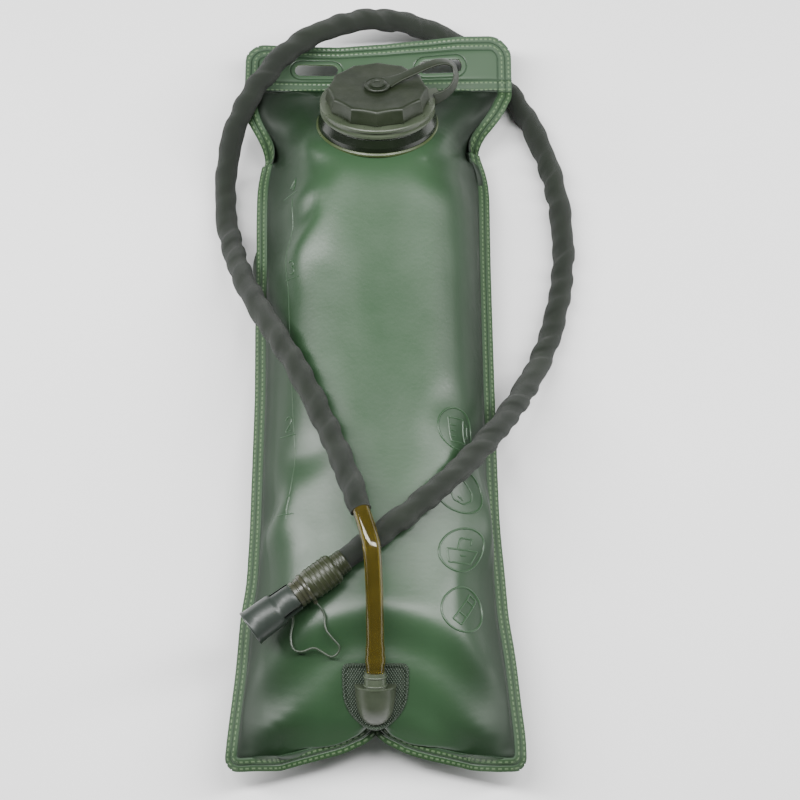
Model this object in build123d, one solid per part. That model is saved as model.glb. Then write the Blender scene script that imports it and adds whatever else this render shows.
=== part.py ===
"""Hydration bladder: a long film reservoir with a screw-cap filler, a drinking hose in a
fabric sleeve and a bite valve under a dust cover, filled and lying on its back.

Frame: millimetres, +Z up, resting on z = 0. +Y points to the header with the hanging
slots, -Y to the foot with the outlet port, X is across the bag.
"""
from build123d import *
import math
import os

# ---- driving dimensions (mm, degrees) ------------------------------------------------
SEAM_Z = 27.0            # height of the weld plane between the two film panels
FILM = 0.9               # film thickness
HEADER_TOP = 233.0       # Y of the header's outer edge
HEADER_LOW = 197.0       # Y where the header meets the reservoir
HEADER_HALF = 85.0       # half width of the header
HEADER_CORNER = 14.0     # radius of the header's top corners
SLOT_X = 40.0            # header slot centres at +-X
SLOT_Y = 214.0
SLOT_LENGTH = 28.0       # overall
SLOT_WIDTH = 9.0
FOOT_CORNER = -231.9     # Y of the foot's rounded corners
FOOT_MIDDLE = -217.0     # Y of the foot edge on the centre line

# filler: axis leans towards the header
NECK_CENTRE = (0.0, 163.0, 49.3)
NECK_LEAN = 33.0
NECK_BORE_R = 23.5
NECK_R = 26.0
NECK_TOP = 22.7          # heights below are measured along the neck axis from the film
FLANGE_R = 38.0
FLANGE_T = 2.0
COLLAR_TOP = 10.2
RING_LOW = 10.5
RING_TOP = 17.0
RING_R = 35.5
CAP_LOW = 17.4
CAP_TOP = 27.0
CAP_R_LOW = 32.0
CAP_R_TOP = 30.5
CAP_SIDES = 12
CAP_INNER_R = 28.4
THREAD_PITCH = 4.0
THREAD_CREST = 1.1
SEAL_T = 1.5
GAP = 0.3                # running clearance between pieces that move
EYE_R = 8.0
EYE_T = 1.6
STRAP_WIDTH = 8.0
STRAP_ANGLE = 18.0       # direction of the leash from +X towards the header

# outlet port: its plane leans towards the foot
PORT_CENTRE = (0.0, -191.0, 46.5)
PORT_LEAN = 25.0
SHIELD_HALF = 19.0
SHIELD_TOP = 18.0
SHIELD_TIP = -21.0
SHIELD_T = 2.4
BORE_HEIGHT = 9.3        # hose axis above the port's plane
BOSS_FACE = 5.5
CONNECTOR_END = 15.0
CONNECTOR_R = 6.2

# hose, sleeve and valve
HOSE_R = 5.0
HOSE_BORE_R = 3.2
SLEEVE_R = 7.0
SLEEVE_INNER_R = 5.3
VALVE_START = (-17.0, -119.0, 72.3)
VALVE_AXIS = (-0.806, -0.589, -0.060)
TETHER_R = 0.65
LUG_ANGLE = 25.0         # the tether's lug points this far below the valve's side

# hose centre line from the outlet port to the valve, one hand-placed point per bend
HOSE_ROUTE = [
    (0.0, -181.25, 61.31),
    (0.0, -126.87, 86.67),
    (-4.0, -104.0, 89.0),
    (-24.0, -48.0, 70.2),
    (-49.0, 4.0, 64.7),
    (-78.0, 54.0, 39.0),
    (-94.0, 102.0, 10.0),
    (-98.0, 137.0, 8.2),
    (-93.0, 166.0, 27.0),
    (-77.0, 196.0, 40.5),
    (-50.0, 228.0, 38.5),
    (-13.0, 246.0, 34.0),
    (22.0, 250.0, 20.0),
    (52.0, 240.0, 11.0),
    (82.0, 211.0, 8.0),
    (106.0, 168.0, 7.9),
    (118.0, 114.0, 7.8),
    (115.0, 64.0, 7.9),
    (102.0, 22.0, 10.5),
    (86.0, -10.0, 31.0),
    (67.0, -42.0, 53.0),
    (37.0, -76.0, 69.6),
    (8.8, -100.15, 74.2),
    (-16.92, -118.94, 72.31),
]
SLEEVE_START = (-7.87, -93.15, 85.61)   # on the run after the third hose point

# tether between the valve's ring and its dust cover
TETHER_ROUTE = [
    (-33.4, -142.8, 66.2),
    (-28.2, -147.5, 63.6),
    (-29.0, -156.0, 63.0),
    (-25.0, -161.5, 62.4),
    (-18.8, -167.5, 60.4),
    (-24.0, -173.0, 58.0),
    (-30.5, -169.0, 59.0),
    (-35.0, -166.5, 59.6),
    (-41.0, -169.5, 58.4),
    (-47.0, -168.0, 57.4),
    (-48.4, -159.5, 57.6),
    (-45.9, -150.5, 58.4),
    (-47.6, -147.4, 62.8),
]

# reservoir profile: (Y, half width, crown above the weld plane, depth below it)
PROFILE = [
    (195.0, 69.0, 6.0, 5.0),
    (180.0, 64.0, 27.0, 18.0),
    (163.0, 58.5, 38.0, 27.0),
    (148.0, 57.0, 42.5, 30.0),
    (131.0, 60.0, 43.8, 32.0),
    (105.0, 63.0, 41.0, 34.0),
    (50.0, 63.5, 36.5, 35.0),
    (-30.0, 63.5, 35.5, 35.0),
    (-100.0, 65.5, 36.0, 34.0),
    (-150.0, 68.0, 36.5, 32.0),
    (-178.0, 70.0, 34.0, 26.0),
    (-197.0, 70.5, 24.0, 18.0),
    (-211.0, 68.0, 12.0, 9.0),
]
SECTIONS = 20            # evenly spaced sections of the lofted pillow
# half section of the pillow: (fraction of half width, fraction of height)
SECTION = [(1.0, 0.0), (0.93, 0.37), (0.75, 0.71), (0.42, 0.94), (0.0, 1.0)]

# outline of the welded edge, right-hand side, from the header down to the foot
SIDE_EDGE = [
    (82.0, 194.0),
    (70.0, 172.0),
    (64.0, 150.0),
    (68.5, 124.0),
    (72.0, 70.0),
    (72.0, -60.0),
    (76.5, -140.0),
    (83.5, -215.0),
    (82.0, -228.0),
    (74.0, FOOT_CORNER),
    (38.0, -227.5),
    (0.0, FOOT_MIDDLE),
]


# ---- helpers ---------------------------------------------------------------------------
def lean_plane(centre, angle):
    """Plane at centre whose normal leans by angle from +Z towards +Y."""
    lean = math.radians(angle)
    return Plane(origin=centre, x_dir=(1, 0, 0), z_dir=(0, math.sin(lean), math.cos(lean)))


NECK = lean_plane(NECK_CENTRE, NECK_LEAN)
PORT = lean_plane(PORT_CENTRE, -PORT_LEAN)
VALVE = Plane(origin=VALVE_START, x_dir=(0.589, -0.806, 0.0), z_dir=VALVE_AXIS)


def turned(points):
    """Solid of revolution about Z from a closed list of (radius, height) points."""
    outline = Polyline(*[(radius, 0, height) for radius, height in points], close=True)
    return revolve(make_face(outline), Axis.Z, 360)


def ring_ribs(radius, heights, thickness):
    """Round ribs around a barrel."""
    ribs = []
    for height in heights:
        ribs.append(Pos(0, 0, height) * Torus(radius, thickness))
    return ribs


def fused(body, extras):
    for extra in extras:
        body = body + extra
    return body


def profile_at(y):
    """Half width, crown and depth at y: cubic pieces between the rows of PROFILE."""
    rows = list(reversed(PROFILE))
    last = len(rows) - 1
    low = max(i for i in range(last) if rows[i][0] <= y + 1e-9)
    here = rows[low]
    after = rows[low + 1]
    before = rows[max(low - 1, 0)]
    beyond = rows[min(low + 2, last)]
    span = after[0] - here[0]
    t = (y - here[0]) / span
    values = []
    for k in (1, 2, 3):
        slope_here = (after[k] - before[k]) / (after[0] - before[0]) * span
        slope_after = (beyond[k] - here[k]) / (beyond[0] - here[0]) * span
        values.append(here[k] * (1 - t) ** 2 * (1 + 2 * t) + after[k] * t * t * (3 - 2 * t)
                      + slope_here * t * (1 - t) ** 2 - slope_after * t * t * (1 - t))
    return values


def pillow(side, shrink):
    """Lofted half pillow; side is +1 for the front and -1 for the back."""
    faces = []
    high_y = PROFILE[0][0]
    low_y = PROFILE[-1][0]
    for step in range(SECTIONS):
        y = high_y + (low_y - high_y) * step / (SECTIONS - 1)
        half, rise, depth = profile_at(y)
        height = rise if side > 0 else depth
        half_width = half - shrink
        tall = max(height - shrink, 1.2)
        at_end = step in (0, SECTIONS - 1)
        y_here = y - math.copysign(shrink, y) if at_end else y
        right = [(f * half_width, y_here, SEAM_Z + side * g * tall) for f, g in SECTION]
        left = [(-x, y_here, z) for x, y_here, z in reversed(right[:-1])]
        arc = Spline(*(right + left))
        base = Line(left[-1], right[0])
        faces.append(make_face(Wire([arc.edge(), base.edge()])))
    return loft(faces)


def above(plane, lift):
    """Large block on the upper side of a plane shifted along its normal."""
    block = Box(400, 400, 200, align=(Align.CENTER, Align.CENTER, Align.MIN))
    return plane.location * Pos(0, 0, lift) * block


def edge_outline():
    """Closed outline of the welded film, seen from above."""
    right = [(x, y) for x, y in SIDE_EDGE]
    left = [(-x, y) for x, y in reversed(right[:-1])]
    side = Spline(*(right + left))
    corner = HEADER_CORNER
    top_right = (HEADER_HALF, HEADER_TOP - corner)
    top_left = (-HEADER_HALF, HEADER_TOP - corner)
    arc_right = RadiusArc(top_right, (HEADER_HALF - corner, HEADER_TOP), -corner)
    top = Line((HEADER_HALF - corner, HEADER_TOP), (-HEADER_HALF + corner, HEADER_TOP))
    arc_left = RadiusArc((-HEADER_HALF + corner, HEADER_TOP), top_left, -corner)
    down_left = Line(top_left, (-HEADER_HALF, HEADER_LOW))
    step_left = Line((-HEADER_HALF, HEADER_LOW), left[-1])
    step_right = Line(right[0], (HEADER_HALF, HEADER_LOW))
    up_right = Line((HEADER_HALF, HEADER_LOW), top_right)
    curves = [side, step_left, down_left, arc_left, top, arc_right, up_right, step_right]
    return make_face(Wire([curve.edge() for curve in curves]))


def edge_plate(low, high):
    """The welded rim and the header, with the two hanging slots cut through."""
    plate = Pos(0, 0, low) * extrude(edge_outline(), high - low)
    for side in (-1, 1):
        slot = extrude(SlotOverall(SLOT_LENGTH, SLOT_WIDTH), 20)
        plate = plate - Pos(side * SLOT_X, SLOT_Y, SEAM_Z - 10) * slot
    return plate


# ---- reservoir -------------------------------------------------------------------------
def front_panel():
    outer = pillow(1, 0.0) - above(NECK, 0) - above(PORT, 0)
    inner = pillow(1, FILM) - above(NECK, -FILM) - above(PORT, -FILM)
    body = edge_plate(SEAM_Z, SEAM_Z + FILM) + outer - inner
    body = body - NECK.location * Cylinder(NECK_BORE_R, 20)
    outlet = Cylinder(3.5, 12)
    return body - PORT.location * Pos(0, -0.5, 0) * outlet


def back_panel():
    floor_cut = Pos(0, 0, -100) * Box(400, 600, 200)
    inner_cut = Pos(0, 0, -100 + FILM) * Box(400, 600, 200)
    outer = pillow(-1, 0.0) - floor_cut
    inner = pillow(-1, FILM) - inner_cut
    return edge_plate(SEAM_Z - FILM, SEAM_Z) + outer - inner


# ---- filler ----------------------------------------------------------------------------
def thread(radius, start, height, outward):
    """Helical ridge; outward is +1 on the neck and -1 inside the cap."""
    path = Helix(THREAD_PITCH, height, radius)
    root = 0.4 * outward
    tip = THREAD_CREST * outward
    plane = Plane(origin=path @ 0, x_dir=(1, 0, 0), z_dir=path % 0)
    shape = [(-root, -1.0), (tip, -0.35), (tip, 0.35), (-root, 1.0)]
    profile = plane * make_face(Polyline(*shape, close=True))
    return Pos(0, 0, start) * sweep(profile, path=path, is_frenet=True)


def filler_neck():
    flange = turned([
        (NECK_BORE_R, 0), (FLANGE_R, 0), (FLANGE_R, 1.2), (FLANGE_R - 0.8, FLANGE_T),
        (NECK_R, FLANGE_T), (NECK_R, NECK_TOP - 0.6), (NECK_R - 0.6, NECK_TOP),
        (NECK_BORE_R, NECK_TOP),
    ])
    ridge = thread(NECK_R, RING_LOW + 1.4, 6.0, 1)
    return NECK.location * (flange + ridge)


def neck_collar():
    body = turned([
        (NECK_R + 0.1, FLANGE_T), (FLANGE_R - 1.2, FLANGE_T), (FLANGE_R - 1.4, 5.0),
        (RING_R - 1.0, COLLAR_TOP - 0.6), (RING_R - 1.6, COLLAR_TOP),
        (NECK_R + 0.1, COLLAR_TOP),
    ])
    return NECK.location * body


def leash_ring():
    middle = 0.5 * (RING_LOW + RING_TOP)
    body = turned([
        (CAP_INNER_R - 0.6, RING_LOW), (RING_R - 0.5, RING_LOW), (RING_R, RING_LOW + 0.5),
        (RING_R, middle - 1.3), (RING_R - 1.1, middle - 0.7), (RING_R - 1.1, middle + 0.7),
        (RING_R, middle + 1.3), (RING_R, RING_TOP - 0.5), (RING_R - 0.5, RING_TOP),
        (CAP_INNER_R - 0.6, RING_TOP),
    ])
    lug = Box(6.0, STRAP_WIDTH, RING_TOP - RING_LOW)
    lug = Pos(RING_R + 1.0, 0, middle) * lug
    return NECK.location * Rot(0, 0, STRAP_ANGLE) * (body + lug)


def cap():
    low = Pos(0, 0, CAP_LOW) * RegularPolygon(CAP_R_LOW, CAP_SIDES)
    high = Pos(0, 0, CAP_TOP - 1.2) * RegularPolygon(CAP_R_TOP, CAP_SIDES)
    top = Pos(0, 0, CAP_TOP) * RegularPolygon(CAP_R_TOP - 1.6, CAP_SIDES)
    skirt = loft([low, high]) + loft([high, top])
    ceiling = NECK_TOP + GAP + SEAL_T
    hollow = turned([(0, CAP_LOW - 1), (CAP_INNER_R, CAP_LOW - 1), (CAP_INNER_R, ceiling),
                     (0, ceiling)])
    ridge = thread(CAP_INNER_R, CAP_LOW + 1.2, 4.0, -1)
    return NECK.location * (skirt - hollow + ridge)


def cap_seal():
    low = NECK_TOP + GAP
    body = turned([
        (NECK_BORE_R - 1.0, low), (CAP_INNER_R - 0.9, low), (CAP_INNER_R - 0.9, low + SEAL_T),
        (NECK_BORE_R - 1.0, low + SEAL_T),
    ])
    return NECK.location * body


def leash_eye():
    low = CAP_TOP + GAP
    body = turned([
        (3.0, low), (EYE_R, low), (EYE_R, low + EYE_T - 0.4), (EYE_R - 0.4, low + EYE_T),
        (3.0, low + EYE_T),
    ])
    return NECK.location * body


def leash_button():
    head = CAP_TOP + 2 * GAP + EYE_T
    body = turned([
        (0, CAP_TOP), (2.6, CAP_TOP), (2.6, head), (5.2, head), (5.2, head + 0.5),
        (4.4, head + 1.1), (2.4, head + 1.1), (2.0, head + 0.7), (0, head + 0.7),
    ])
    return NECK.location * body


def leash_strap():
    low = CAP_TOP + GAP + 0.5 * EYE_T
    middle = 0.5 * (RING_LOW + RING_TOP)
    points = [
        (EYE_R + 0.4, 0, low), (34.0, 0, low + 2.2), (48.0, 0, low + 0.5),
        (51.0, 0, middle + 4.0), (RING_R + 4.3, 0, middle),
    ]
    path = FilletPolyline(*points, radius=3.0)
    start = Plane(origin=path @ 0, x_dir=(0, 1, 0), z_dir=path % 0)
    band = sweep(start * Rectangle(STRAP_WIDTH, EYE_T), path=path)
    return NECK.location * Rot(0, 0, STRAP_ANGLE) * band


# ---- outlet port -----------------------------------------------------------------------
def port_base():
    top_right = (SHIELD_HALF, SHIELD_TOP - 4)
    outline = [
        Line((-SHIELD_HALF + 4, SHIELD_TOP), (SHIELD_HALF - 4, SHIELD_TOP)),
        RadiusArc((SHIELD_HALF - 4, SHIELD_TOP), top_right, 4),
        Spline(top_right, (17.5, -3), (9.5, -18), (0, SHIELD_TIP), (-9.5, -18), (-17.5, -3),
               (-SHIELD_HALF, SHIELD_TOP - 4)),
        RadiusArc((-SHIELD_HALF, SHIELD_TOP - 4), (-SHIELD_HALF + 4, SHIELD_TOP), 4),
    ]
    plate = extrude(make_face(Wire([curve.edge() for curve in outline])), SHIELD_T)
    plate = plate - Pos(0, -0.5, 0) * Cylinder(3.5, 12)
    return PORT.location * plate


def boss_section(v, half, height):
    """Arched section of the outlet boss, across the hose axis."""
    low = SHIELD_T
    arch = Spline((half, v, low), (0.86 * half, v, low + 0.6 * height), (0, v, low + height),
                  (-0.86 * half, v, low + 0.6 * height), (-half, v, low))
    base = Line((-half, v, low), (half, v, low))
    return make_face(Wire([arch.edge(), base.edge()]))


def port_boss():
    body = loft([boss_section(BOSS_FACE, 12.8, 13.6), boss_section(-6.0, 10.0, 10.2),
                 boss_section(-17.0, 5.0, 2.6)])
    bore = Pos(0, BOSS_FACE, BORE_HEIGHT) * Rot(90, 0, 0) * Cylinder(4.6, 16)
    drop = Pos(0, -0.5, 4.0) * Cylinder(3.0, 9)
    return PORT.location * (body - bore - drop)


def port_seal():
    groove = Pos(0, BOSS_FACE - 4.5, BORE_HEIGHT) * Rot(90, 0, 0) * Torus(3.9, 0.65)
    return PORT.location * groove


def port_connector():
    """Push-in stem with a ribbed head and the barb that the hose grips."""
    start = BOSS_FACE
    length = CONNECTOR_END - start
    head = Pos(0, 0, length / 2) * Cylinder(CONNECTOR_R, length)
    head = fused(head, ring_ribs(CONNECTOR_R, [2.2, 7.2], 0.6))
    stem = Pos(0, 0, -1.6) * Cylinder(3.2, 3.2)
    bore = Pos(0, 0, 5) * Cylinder(2.4, 60)
    body = Pos(0, start, BORE_HEIGHT) * Rot(-90, 0, 0) * (head + stem - bore)
    return PORT.location * body


# ---- hose and sleeve ---------------------------------------------------------------------
def bend_radii(points):
    """One radius per inner point, from the shorter run beside it and the turn there."""
    radii = []
    for before, here, after in zip(points, points[1:], points[2:]):
        run_in = Vector(*here) - Vector(*before)
        run_out = Vector(*after) - Vector(*here)
        turn = math.radians(run_in.get_angle(run_out))
        shorter = min(run_in.length, run_out.length)
        radii.append(0.45 * shorter / math.tan(turn / 2))
    return radii


def route_path(points, radii):
    """Straight runs joined by tangent arcs."""
    edges = []
    last = Vector(*points[0])
    for here, after, before, radius in zip(points[1:], points[2:], points, radii):
        corner = Vector(*here)
        back = (Vector(*before) - corner).normalized()
        ahead = (Vector(*after) - corner).normalized()
        half_turn = (math.pi - math.radians(back.get_angle(ahead))) / 2
        reach = radius * math.tan(half_turn)
        begin = corner + back * reach
        finish = corner + ahead * reach
        middle_way = (back + ahead).normalized()
        middle = corner + middle_way * (radius / math.cos(half_turn) - radius)
        edges.append(Edge.make_line(last, begin))
        edges.append(Edge.make_three_point_arc(begin, middle, finish))
        last = finish
    edges.append(Edge.make_line(last, Vector(*points[-1])))
    return Wire(edges)


def tube(path, outer, inner):
    """Round tube, or a solid cord where inner is zero, along a path."""
    start = Plane(origin=path @ 0, z_dir=path % 0)
    body = sweep(start * Circle(outer), path=path)
    if inner > 0:
        body = body - sweep(start * Circle(inner), path=path)
    return body


def hose():
    return tube(route_path(HOSE_ROUTE, bend_radii(HOSE_ROUTE)), HOSE_R, HOSE_BORE_R)


def hose_sleeve():
    """Follows the hose's own bends from its third run to the valve."""
    path = route_path([SLEEVE_START] + HOSE_ROUTE[3:], bend_radii(HOSE_ROUTE)[2:])
    return tube(path, SLEEVE_R, SLEEVE_INNER_R)


# ---- bite valve ----------------------------------------------------------------------------
def valve_collar():
    body = turned([
        (3.0, 0), (6.3, 0), (6.75, 0.5), (6.75, 7.0), (3.0, 7.0),
    ])
    return VALVE.location * fused(body, ring_ribs(6.6, [2.0, 4.0, 6.0], 0.5))


def valve_grip():
    body = turned([
        (3.0, 7.0), (7.6, 7.0), (8.9, 8.4), (9.0, 24.0), (8.4, 26.0), (3.0, 26.0),
    ])
    return VALVE.location * fused(body, ring_ribs(8.8, [10.5, 13.5, 16.5, 19.5, 22.5], 0.6))


def tether_ring():
    body = turned([
        (6.4, 26.3), (8.6, 26.3), (9.0, 27.0), (9.0, 28.2), (8.6, 28.9), (6.4, 28.9),
    ])
    lug = Rot(0, 0, -LUG_ANGLE) * Pos(9.0, 0, 27.6) * Box(3.0, 3.0, 2.2)
    return VALVE.location * (body + lug)


def valve_neck():
    body = turned([
        (3.0, 26.0), (6.2, 26.0), (6.2, 29.1), (8.1, 29.1), (8.1, 31.2), (7.5, 31.6),
        (7.5, 32.2), (8.0, 32.6), (8.0, 34.6), (4.4, 34.6), (4.4, 42.0), (3.0, 42.0),
    ])
    return VALVE.location * body


def bite_valve():
    """Silicone mouthpiece: a round skirt that flattens to an oval tip."""
    root = Pos(0, 0, 35.0) * Circle(7.0)
    waist = Pos(0, 0, 43.0) * Circle(6.0)
    tip = Pos(0, 0, 60.5) * Ellipse(7.2, 4.6)
    body = loft([root, waist]) + loft([waist, tip])
    pocket = turned([(0, 34.0), (4.7, 34.0), (4.7, 42.6), (2.4, 45.0), (2.4, 58.0), (0, 58.0)])
    slit = Pos(0, 0, 60) * Box(6.0, 0.6, 6.0)
    return VALVE.location * (body - pocket - slit)


def dust_cover():
    body = turned([
        (7.5, 35.0), (8.3, 35.0), (8.6, 46.0), (9.9, 48.0), (10.1, 64.0), (10.6, 65.4),
        (10.2, 66.4), (0, 66.4), (0, 64.8), (8.9, 64.8), (8.7, 48.6), (7.6, 46.6),
    ])
    for angle in (35, 155, 275):
        slit = Pos(8.4, 0, 39.0) * Box(4.0, 1.6, 12.0)
        body = body - Rot(0, 0, angle) * slit
    return VALVE.location * body


def tether():
    return tube(route_path(TETHER_ROUTE, bend_radii(TETHER_ROUTE)), TETHER_R, 0)


PIECES = [
    front_panel, back_panel, filler_neck, neck_collar, leash_ring, leash_strap, leash_eye,
    leash_button, cap, cap_seal, port_base, port_boss, port_seal, port_connector, hose,
    hose_sleeve, valve_collar, valve_grip, tether_ring, valve_neck, bite_valve, dust_cover,
    tether,
]

os.makedirs("parts", exist_ok=True)
for piece in PIECES:
    export_step(piece(), "parts/" + piece.__name__ + ".step")
for name, route in (("hose", HOSE_ROUTE), ("tether", TETHER_ROUTE)):
    bends = bend_radii(route)
    print(name, "length", round(route_path(route, bends).length, 1), "tightest bend",
          round(min(bends), 1))
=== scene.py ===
"""Hydration bladder: inflated film reservoir, screw-cap filler with its leash, outlet port,
amber hose in a woven sleeve, and a bite valve under a dust cover. Everything is in metres."""
import bpy
import bmesh
import math
import numpy as np
from mathutils import Matrix, Vector
from mathutils.bvhtree import BVHTree


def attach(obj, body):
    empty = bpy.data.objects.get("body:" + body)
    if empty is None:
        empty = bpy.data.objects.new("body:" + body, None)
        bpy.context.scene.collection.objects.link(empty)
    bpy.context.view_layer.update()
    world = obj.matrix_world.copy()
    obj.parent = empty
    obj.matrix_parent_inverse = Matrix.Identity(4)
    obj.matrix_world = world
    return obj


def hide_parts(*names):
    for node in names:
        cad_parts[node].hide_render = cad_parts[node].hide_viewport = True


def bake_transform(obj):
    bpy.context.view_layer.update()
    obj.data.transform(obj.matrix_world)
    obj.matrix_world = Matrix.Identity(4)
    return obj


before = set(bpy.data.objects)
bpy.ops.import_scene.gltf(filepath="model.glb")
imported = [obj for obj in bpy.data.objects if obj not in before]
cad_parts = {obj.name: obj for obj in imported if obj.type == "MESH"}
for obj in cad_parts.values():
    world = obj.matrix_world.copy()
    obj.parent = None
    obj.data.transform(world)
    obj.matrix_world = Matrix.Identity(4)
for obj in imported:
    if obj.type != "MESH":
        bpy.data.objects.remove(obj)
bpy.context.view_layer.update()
MM = 0.001

# ---- places shared with the CAD model ------------------------------------------------------
SEAM_Z = 27.0 * MM
NECK_CENTRE = Vector((0.0, 163.0, 49.3)) * MM
NECK_LEAN = math.radians(33.0)
PORT_CENTRE = Vector((0.0, -191.0, 46.5)) * MM
PORT_LEAN = math.radians(-25.0)
VALVE_START = Vector((-17.0, -119.0, 72.3)) * MM
VALVE_AXIS = Vector((-0.806, -0.589, -0.060)).normalized()
HEADER_TOP = 233.0 * MM
HEADER_LOW = 197.0 * MM
SLOT_X = 40.0 * MM
SLOT_Y = 214.0 * MM
SLOT_LENGTH = 28.0 * MM
SLOT_WIDTH = 9.0 * MM
HOSE_R = 5.0 * MM
SLEEVE_R = 7.0 * MM
SLEEVE_START = Vector((-7.87, -93.15, 85.61)) * MM

HOSE_ROUTE = [
    (0.0, -0.18125, 0.06131),
    (0.0, -0.12687, 0.08667),
    (-0.004, -0.104, 0.089),
    (-0.024, -0.048, 0.0702),
    (-0.049, 0.004, 0.0647),
    (-0.078, 0.054, 0.039),
    (-0.094, 0.102, 0.01),
    (-0.098, 0.137, 0.0082),
    (-0.093, 0.166, 0.027),
    (-0.077, 0.196, 0.0405),
    (-0.05, 0.228, 0.0385),
    (-0.013, 0.246, 0.034),
    (0.022, 0.25, 0.02),
    (0.052, 0.24, 0.011),
    (0.082, 0.211, 0.008),
    (0.106, 0.168, 0.0079),
    (0.118, 0.114, 0.0078),
    (0.115, 0.064, 0.0079),
    (0.102, 0.022, 0.0105),
    (0.086, -0.01, 0.031),
    (0.067, -0.042, 0.053),
    (0.037, -0.076, 0.0696),
    (0.0088, -0.10015, 0.0742),
    (-0.01692, -0.11894, 0.07231),
]
TETHER_ROUTE = [
    (-0.0334, -0.1428, 0.0662),
    (-0.0282, -0.1475, 0.0636),
    (-0.029, -0.156, 0.063),
    (-0.025, -0.1615, 0.0624),
    (-0.0188, -0.1675, 0.0604),
    (-0.024, -0.173, 0.058),
    (-0.0305, -0.169, 0.059),
    (-0.035, -0.1665, 0.0596),
    (-0.041, -0.1695, 0.0584),
    (-0.047, -0.168, 0.0574),
    (-0.0484, -0.1595, 0.0576),
    (-0.0459, -0.1505, 0.0584),
    (-0.0476, -0.1474, 0.0628),
]


def lean_matrix(centre, lean):
    """Local x across the bag, y up the slope, z along the leaning axis."""
    return Matrix.Translation(centre) @ Matrix.Rotation(-lean, 4, "X")


NECK = lean_matrix(NECK_CENTRE, NECK_LEAN)
PORT = lean_matrix(PORT_CENTRE, PORT_LEAN)
_side = Vector((0.589, -0.806, 0.0)).normalized()
_up = VALVE_AXIS.cross(_side)
VALVE = Matrix.Translation(VALVE_START) @ Matrix((_side, _up, VALVE_AXIS)).transposed().to_4x4()


# ---- node materials --------------------------------------------------------------------------
class Look:
    """A node material under construction."""

    def __init__(self, name, rough, **sockets):
        self.mat = bpy.data.materials.new(name)
        self.mat.use_nodes = True
        self.tree = self.mat.node_tree
        self.shader = self.tree.nodes["Principled BSDF"]
        self.shader.inputs["Roughness"].default_value = rough
        for key, value in sockets.items():
            self.shader.inputs[key.replace("_", " ")].default_value = value
        self.normal = None

    def node(self, kind, **inputs):
        made = self.tree.nodes.new(kind)
        for key, value in inputs.items():
            socket = made.inputs[int(key[1:])] if key[1:].isdigit() else made.inputs[key]
            if isinstance(value, bpy.types.NodeSocket):
                self.tree.links.new(value, socket)
            else:
                socket.default_value = value
        return made

    def math(self, operation, a, b=0.0, c=0.0):
        made = self.node("ShaderNodeMath", i0=a, i1=b, i2=c)
        made.operation = operation
        return made.outputs[0]

    def place(self, turn=(0, 0, 0)):
        coordinate = self.tree.nodes.new("ShaderNodeTexCoord").outputs["Object"]
        made = self.node("ShaderNodeMapping", Vector=coordinate, Rotation=turn)
        return made.outputs[0]

    def attribute(self, name):
        made = self.tree.nodes.new("ShaderNodeAttribute")
        made.attribute_name = name
        return made

    def noise(self, scale, detail=3.0):
        made = self.node("ShaderNodeTexNoise", Vector=self.place(), Scale=scale, Detail=detail)
        return made.outputs["Fac"]

    def ramp(self, fac, stops):
        made = self.node("ShaderNodeValToRGB", Fac=fac)
        elements = made.color_ramp.elements
        while len(elements) < len(stops):
            elements.new(0.5)
        for element, (position, colour) in zip(elements, stops):
            element.position = position
            element.color = (*colour, 1.0)
        return made.outputs["Color"]

    def mix(self, fac, a, b, blend="MIX"):
        made = self.tree.nodes.new("ShaderNodeMix")
        made.data_type = "RGBA"
        made.blend_type = blend
        for socket, value in ((made.inputs[0], fac), (made.inputs[6], a), (made.inputs[7], b)):
            if isinstance(value, bpy.types.NodeSocket):
                self.tree.links.new(value, socket)
            elif isinstance(value, tuple):
                socket.default_value = (*value, 1.0)
            else:
                socket.default_value = value
        return made.outputs[2]

    def times(self, a, b):
        return self.mix(1.0, a, b, "MULTIPLY")

    def bump(self, height, distance, strength=1.0):
        made = self.node("ShaderNodeBump", Height=height, Distance=distance, Strength=strength)
        if self.normal:
            self.tree.links.new(self.normal, made.inputs["Normal"])
        self.normal = made.outputs["Normal"]
        self.tree.links.new(self.normal, self.shader.inputs["Normal"])

    def link(self, output, socket):
        self.tree.links.new(output, self.shader.inputs[socket])


def band(look, value, centre, width):
    """1 on a line at centre, falling to 0 at width to either side."""
    away = look.math("ABSOLUTE", look.math("SUBTRACT", value, centre))
    return look.math("SUBTRACT", 1.0, look.math("MINIMUM", look.math("DIVIDE", away, width), 1.0))


STITCH_WAVE = 2100.0         # radians per metre along a row of stitches
STITCH_GAP = -0.25           # sine below which there is no stitch
RIM_GROOVE = 0.0041          # in from the cut edge
WELD_LINES = (HEADER_LOW - 0.0004, HEADER_LOW + 0.0077)


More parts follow.
